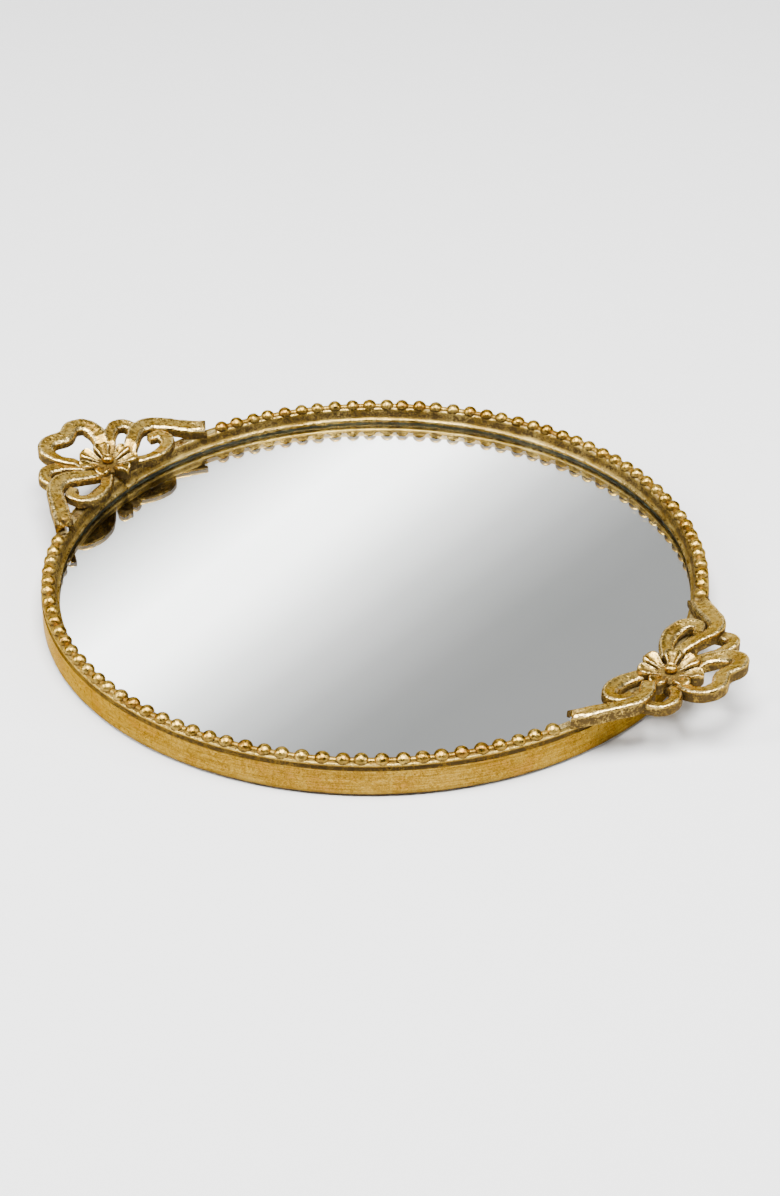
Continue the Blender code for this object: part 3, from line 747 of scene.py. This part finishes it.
def petal(angle, bow_turn, reach, lift, width):
    """One spoon-shaped petal from the flower's heart out to reach."""
    rings, toning_and_painted_light = [], []
    for share in (0.0, 0.08, 0.18, 0.3, 0.42, 0.54, 0.65, 0.75, 0.83, 0.9, 0.95, 0.985, 1.0):
        r = PETAL_START + (reach - PETAL_START) * share
        round_off = math.sqrt(max(0.0, 1 - ((share - 0.62) / 0.38) ** 2)) if share > 0.62 else 1
        half = width * (0.26 + 0.74 * min(1.0, share / 0.68) ** 1.5) * max(round_off, 0.12)
        rise = PETAL_BASE + lift * math.sin(math.pi * min(share / 0.86, 1.0) / 2) ** 1.8
        rise -= PETAL_DROOP * max(0.0, (share - 0.84) / 0.16) ** 2
        ring, values = [], []
        for place, drop, shade in PETAL_SECTION:
            if drop is None:
                height = BOW_FLOOR + 0.6
            else:
                cup = PETAL_CUP * (1 - (abs(place) / 0.72) ** 2) if abs(place) < 0.72 else 0.0
                cup *= min(1.0, 0.3 + share) * max(0.0, 1 - share**4)
                height = max(rise - cup - drop, BOW_FLOOR + 0.8)
            x = BOW_CENTRE[0] + r * math.cos(angle) - half * place * math.sin(angle)
            y = BOW_CENTRE[1] + r * math.sin(angle) + half * place * math.cos(angle)
            ring.append(bow_to_tray(x, y, height, bow_turn))
            # Darker towards the heart and along the cupped middle: toning and painted shade
            inner = 0.55 * max(0.0, 1 - share / 0.4)
            furrow = 0.7 * max(0.0, 1 - abs(place) / 0.45) * (share < 0.7)
            values.append(min(1.0, max(shade, inner, furrow) if shade >= 0 else shade))
        rings.append(ring)
        toning_and_painted_light.append(values)
    return loft(rings, toning_and_painted_light=toning_and_painted_light)


def lathed(profile, bow_turn, around=32):
    """Turn (radius, height, recess) rows about the flower's axis."""
    angles = [math.tau * i / around for i in range(around)]
    rings = [[bow_to_tray(BOW_CENTRE[0] + r * math.cos(a), BOW_CENTRE[1] + r * math.sin(a),
                          height, bow_turn) for a in angles] for r, height, _ in profile]
    return loft(rings, toning_and_painted_light=[[shade] * around for _, _, shade in profile])


def build_flower(side, bow_turn, gilt_bow, rng):
    """Seven petals, each a little different, around a low boss."""
    # The boss under the petals is darkened: toning and painted shade
    boss = lathed([(7.5, BOW_FLOOR, 1.0), (8.2, BOW_FLOOR + 0.4, 1.0), (8.0, 1.6, 1.0),
                   (6.0, 2.3, 0.8), (3.0, 2.6, 0.5), (1.0, 2.6, 0.5)], bow_turn)
    parts = [boss]
    for i in range(PETALS):
        angle = math.tau * (i + PETAL_STAGGER * (i % 2)) / PETALS
        parts.append(petal(angle, bow_turn, PETAL_REACH * rng.uniform(0.96, 1.0),
                           PETAL_LIFT * rng.uniform(0.9, 1.0),
                           PETAL_WIDTH * rng.uniform(0.94, 1.04)))
    body = roughen(joined(parts), *FLOWER_FINISH, seed=5.0)
    piece(f"bow_flower_{side}_gilt", body, gilt_bow, [f"bow_flower_{side}"])


def build_rivet(side, bow_turn, brass):
    """The button at the flower's heart, a knob with a dimple in its top."""
    # Painted highlight on the knob's shoulder; toning and painted shade in the dimple and under the
    # head
    profile = [(0.3, 1.3, 1.0), (0.75, 1.5, 1.0), (1.05, 2.1, 0.9), (1.4, 2.75, 0.0),
               (1.85, 2.9, -0.9), (2.35, 2.55, -0.7), (2.7, 1.9, 0.0), (RIVET_HEAD, 1.1, 0.2),
               (2.7, 0.4, 0.7), (2.4, -0.1, 1.0), (1.8, -0.3, 1.0)]
    button = lathed([(r, RIVET_SEAT + height, shade) for r, height, shade in profile], bow_turn)
    piece(f"flower_rivet_{side}_brass", roughen(button, *RIVET_FINISH), brass,
          [f"flower_rivet_{side}"])


def build_bow(side, bow_turn, gilt_bow, brass):
    """One bow: the crown loop, three ribbons on either hand of it, the flower and its button."""
    rng = random.Random(23 if side == "east" else 41)
    crown_path = [*reversed(CROWN_HALF), *mirrored(CROWN_HALF)[1:]]
    body = roughen(ribbon(crown_path, CROWN_HEART, bow_turn), *RIBBON_FINISH, seed=1.0)
    piece(f"crown_loop_{side}_gilt", body, gilt_bow, [f"crown_loop_{side}"])
    for hand in ("left", "right"):
        for kind, points, heart, notch in (
                ("ribbon_tail", TAIL_PATH, TAIL_HEART, NOTCH_DEPTH),
                ("side_loop", SIDE_PATH, SIDE_HEART, 0.0),
                ("inner_loop", INNER_PATH, INNER_HEART, 0.0)):
            if hand == "left":
                points, heart = mirrored(points), (-heart[0], heart[1])
            body = ribbon(points, heart, bow_turn, notch)
            body = roughen(body, *RIBBON_FINISH, seed=2.0 + len(kind))
            node = f"{kind}_{side}_{hand}"
            piece(f"{node}_gilt", body, gilt_bow, [node])
    build_flower(side, bow_turn, gilt_bow, rng)
    build_rivet(side, bow_turn, brass)


# ---- stage ------------------------------------------------------------------------------

def sheet_mesh(name, half_width, half_height):
    """A flat oblong in the XY plane."""
    w, h = half_width, half_height
    mesh = bpy.data.meshes.new(name)
    mesh.from_pydata([(-w, -h, 0), (w, -h, 0), (w, h, 0), (-w, h, 0)], [], [(0, 1, 2, 3)])
    return mesh


def add_floor():
    """A pale paper floor, far wider than the view."""
    mesh = sheet_mesh("floor", FLOOR_HALF, FLOOR_HALF)
    mesh.materials.append(plain("floor_paper", (0.90, 0.90, 0.895), (0.92, 0.92, 0.92), 900.0,
                                0.9, bump=0.02))
    floor = bpy.data.objects.new("floor", mesh)
    bpy.context.scene.collection.objects.link(floor)


def heading(azimuth, elevation):
    """Unit vector towards a place in the studio: azimuth 0 is at -Y and 90 at +X."""
    a, e = math.radians(azimuth), math.radians(elevation)
    return Vector((math.sin(a) * math.cos(e), -math.cos(a) * math.cos(e), math.sin(e)))


def facing_middle(obj, place):
    """Put a light or a card at a place, turned to the tray."""
    obj.location = place
    obj.rotation_euler = (-Vector(place)).to_track_quat("-Z", "Y").to_euler()


def add_light(name, azimuth, elevation, distance, width, height, power):
    data = bpy.data.lights.new(name, "AREA")
    data.shape = "RECTANGLE"
    data.size = width
    data.size_y = height
    data.energy = power
    light = bpy.data.objects.new(name, data)
    bpy.context.scene.collection.objects.link(light)
    facing_middle(light, heading(azimuth, elevation) * distance)


def add_card(name, azimuth, elevation, size, mat):
    """A flat card that only reflections see."""
    mesh = sheet_mesh(name, size[0] / 2, size[1] / 2)
    mesh.materials.append(mat)
    card = bpy.data.objects.new(name, mesh)
    bpy.context.scene.collection.objects.link(card)
    facing_middle(card, heading(azimuth, elevation) * CARD_DISTANCE)
    card.visible_camera = False
    card.visible_diffuse = False
    card.visible_shadow = False


def card_glow(t, colour, strength, size):
    """Light from a card, which fades to the studio's own light towards its edges."""
    apart = t.add("SeparateXYZ", {"Vector": t.place()})
    fades = []
    for axis, span in zip("XY", size):
        off_middle = t.math("ABSOLUTE", apart.outputs[axis], 0.0)
        fades.append(t.window(off_middle, CARD_FADE * span / 2, span / 2))
    studio = (WORLD_LIGHT / strength,) * 3
    colour = t.mix(t.math("MAXIMUM", *fades), colour, studio)
    return t.finish(t.add("Emission", {"Color": colour, "Strength": strength}))


def dark_card():
    """Nearly black, for the dark side that the gilt's edges pick up."""
    return card_glow(Tree("dark_card"), (0.03, 0.028, 0.026), 1.0, DARK_CARD)


def mirror_card():
    """What the mirror shows: a slanting fade from a pale band down to grey."""
    t = Tree("mirror_card")
    slope = math.radians(MIRROR_FADE_SLOPE)
    across = t.add("VectorMath", {0: t.place(), 1: (-math.cos(slope), math.sin(slope), 0.0)},
                   operation="DOT_PRODUCT").outputs["Value"]
    ramp = t.add("ValToRGB", {"Fac": t.window(across, -0.25, 0.2)})
    stops = ramp.color_ramp.elements
    for number, (place, level) in enumerate(MIRROR_FADE):
        stop = stops[number] if number < 2 else stops.new(place)
        stop.position = place
        stop.color = (level, level, level, 1.0)
    return card_glow(t, ramp.outputs[0], CARD_GLOW, MIRROR_CARD)


def build_studio():
    """A soft box overhead, a strip at either side and two cards for the reflections."""
    world = bpy.data.worlds.new("studio")
    world.use_nodes = True
    background = world.node_tree.nodes["Background"]
    background.inputs["Color"].default_value = (1.0, 1.0, 1.0, 1.0)
    background.inputs["Strength"].default_value = WORLD_LIGHT
    bpy.context.scene.world = world
    add_light("overhead", CAMERA_AZIMUTH, 80, distance=1.7, width=1.1, height=1.1, power=98)
    add_light("side_left", CAMERA_AZIMUTH - 80, 38, distance=1.6, width=0.4, height=0.9, power=23)
    add_light("side_right", CAMERA_AZIMUTH + 75, 38, distance=1.6, width=0.4, height=0.9, power=14)
    add_card("card_camera_side", CAMERA_AZIMUTH, 33, DARK_CARD, dark_card())
    add_card("card_mirror_side", CAMERA_AZIMUTH + 180, 33, MIRROR_CARD, mirror_card())


def build_camera():
    """Lens and stand as in the product view, with the small turns that frame it."""
    lens, distance, elevation = 97.19, 1.4764, 32.666
    pan, tilt, roll = -0.26, -0.566, 0.672
    aim = Vector((0, 0, BOW_DATUM * MM))
    away = heading(CAMERA_AZIMUTH, elevation)
    forward = -away
    right = forward.cross(Vector((0, 0, 1))).normalized()
    up = right.cross(forward)
    turn = Matrix.Rotation(math.radians(pan), 3, up)
    forward, right = turn @ forward, turn @ right
    turn = Matrix.Rotation(math.radians(tilt), 3, right)
    forward, up = turn @ forward, turn @ up
    turn = Matrix.Rotation(math.radians(roll), 3, forward)
    right, up = turn @ right, turn @ up
    data = bpy.data.cameras.new("camera")
    data.sensor_fit = "AUTO"
    data.sensor_width = 36.0
    data.lens = lens
    data.clip_start = 0.05
    data.clip_end = 50.0
    camera = bpy.data.objects.new("camera", data)
    bpy.context.scene.collection.objects.link(camera)
    rotation = Matrix((right, up, -forward)).transposed().to_4x4()
    camera.matrix_world = Matrix.Translation(aim + away * distance) @ rotation
    bpy.context.scene.camera = camera


# ---- the tray ---------------------------------------------------------------------------

def finish_hidden_nodes():
    """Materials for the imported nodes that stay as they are, inside the tray."""
    board = plain("hardboard", (0.13, 0.075, 0.035), (0.24, 0.15, 0.08), 700.0, 0.75,
                  stretch=(1.0, 0.3, 1.0))
    foam = plain("grey_foam", (0.26, 0.26, 0.26), (0.4, 0.4, 0.4), 1500.0, 0.9, bump=0.6)
    steel = plain("zinc_steel", (0.42, 0.42, 0.43), (0.62, 0.62, 0.63), 900.0, 0.38, 1.0,
                  stretch=(1.0, 0.2, 1.0))
    finishes = {"backing_board": (board, "hardboard"), "cushion_sheet": (foam, "foam"),
                "glazing_point": (steel, "steel"), "bow_screw": (steel, "steel")}
    for name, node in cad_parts.items():
        for start, (mat, slot) in finishes.items():
            if name.startswith(start):
                for material_slot in node.material_slots:
                    material_slot.material = mat


build_camera()
build_studio()
add_floor()
build_plates(felt_material(), silver_material(), glass_material(), edge_material())
build_band(gilt("gilt_band", patina_and_shade=1.0, red=0.45, pit=0.2, shine=0.27, tint=(0.77, 0.79, 0.85),
                brush=1.0))
build_moulding(gilt("gilt_moulding", patina_and_shade=0.9, red=0.3, pit=0.3, shine=0.25,
                    tint=(1.22, 1.42, 2.7), brush=0.4))
build_beads(gilt("gilt_beads", patina_and_shade=1.0, red=0.9, pit=0.2, shine=0.25, tint=(1.1, 1.2, 1.8)))
bow_leaf = gilt("gilt_bow", patina_and_shade=1.4, red=0.5, pit=0.3, shine=0.21, tint=(1.2, 1.34, 2.3))
rivet_leaf = gilt("gilt_rivet", patina_and_shade=1.0, red=0.3, pit=0.25, shine=0.22,
                  tint=(1.2, 1.25, 1.6))
build_bow("east", 0.0, bow_leaf, rivet_leaf)
build_bow("west", math.pi, bow_leaf, rivet_leaf)
finish_hidden_nodes()
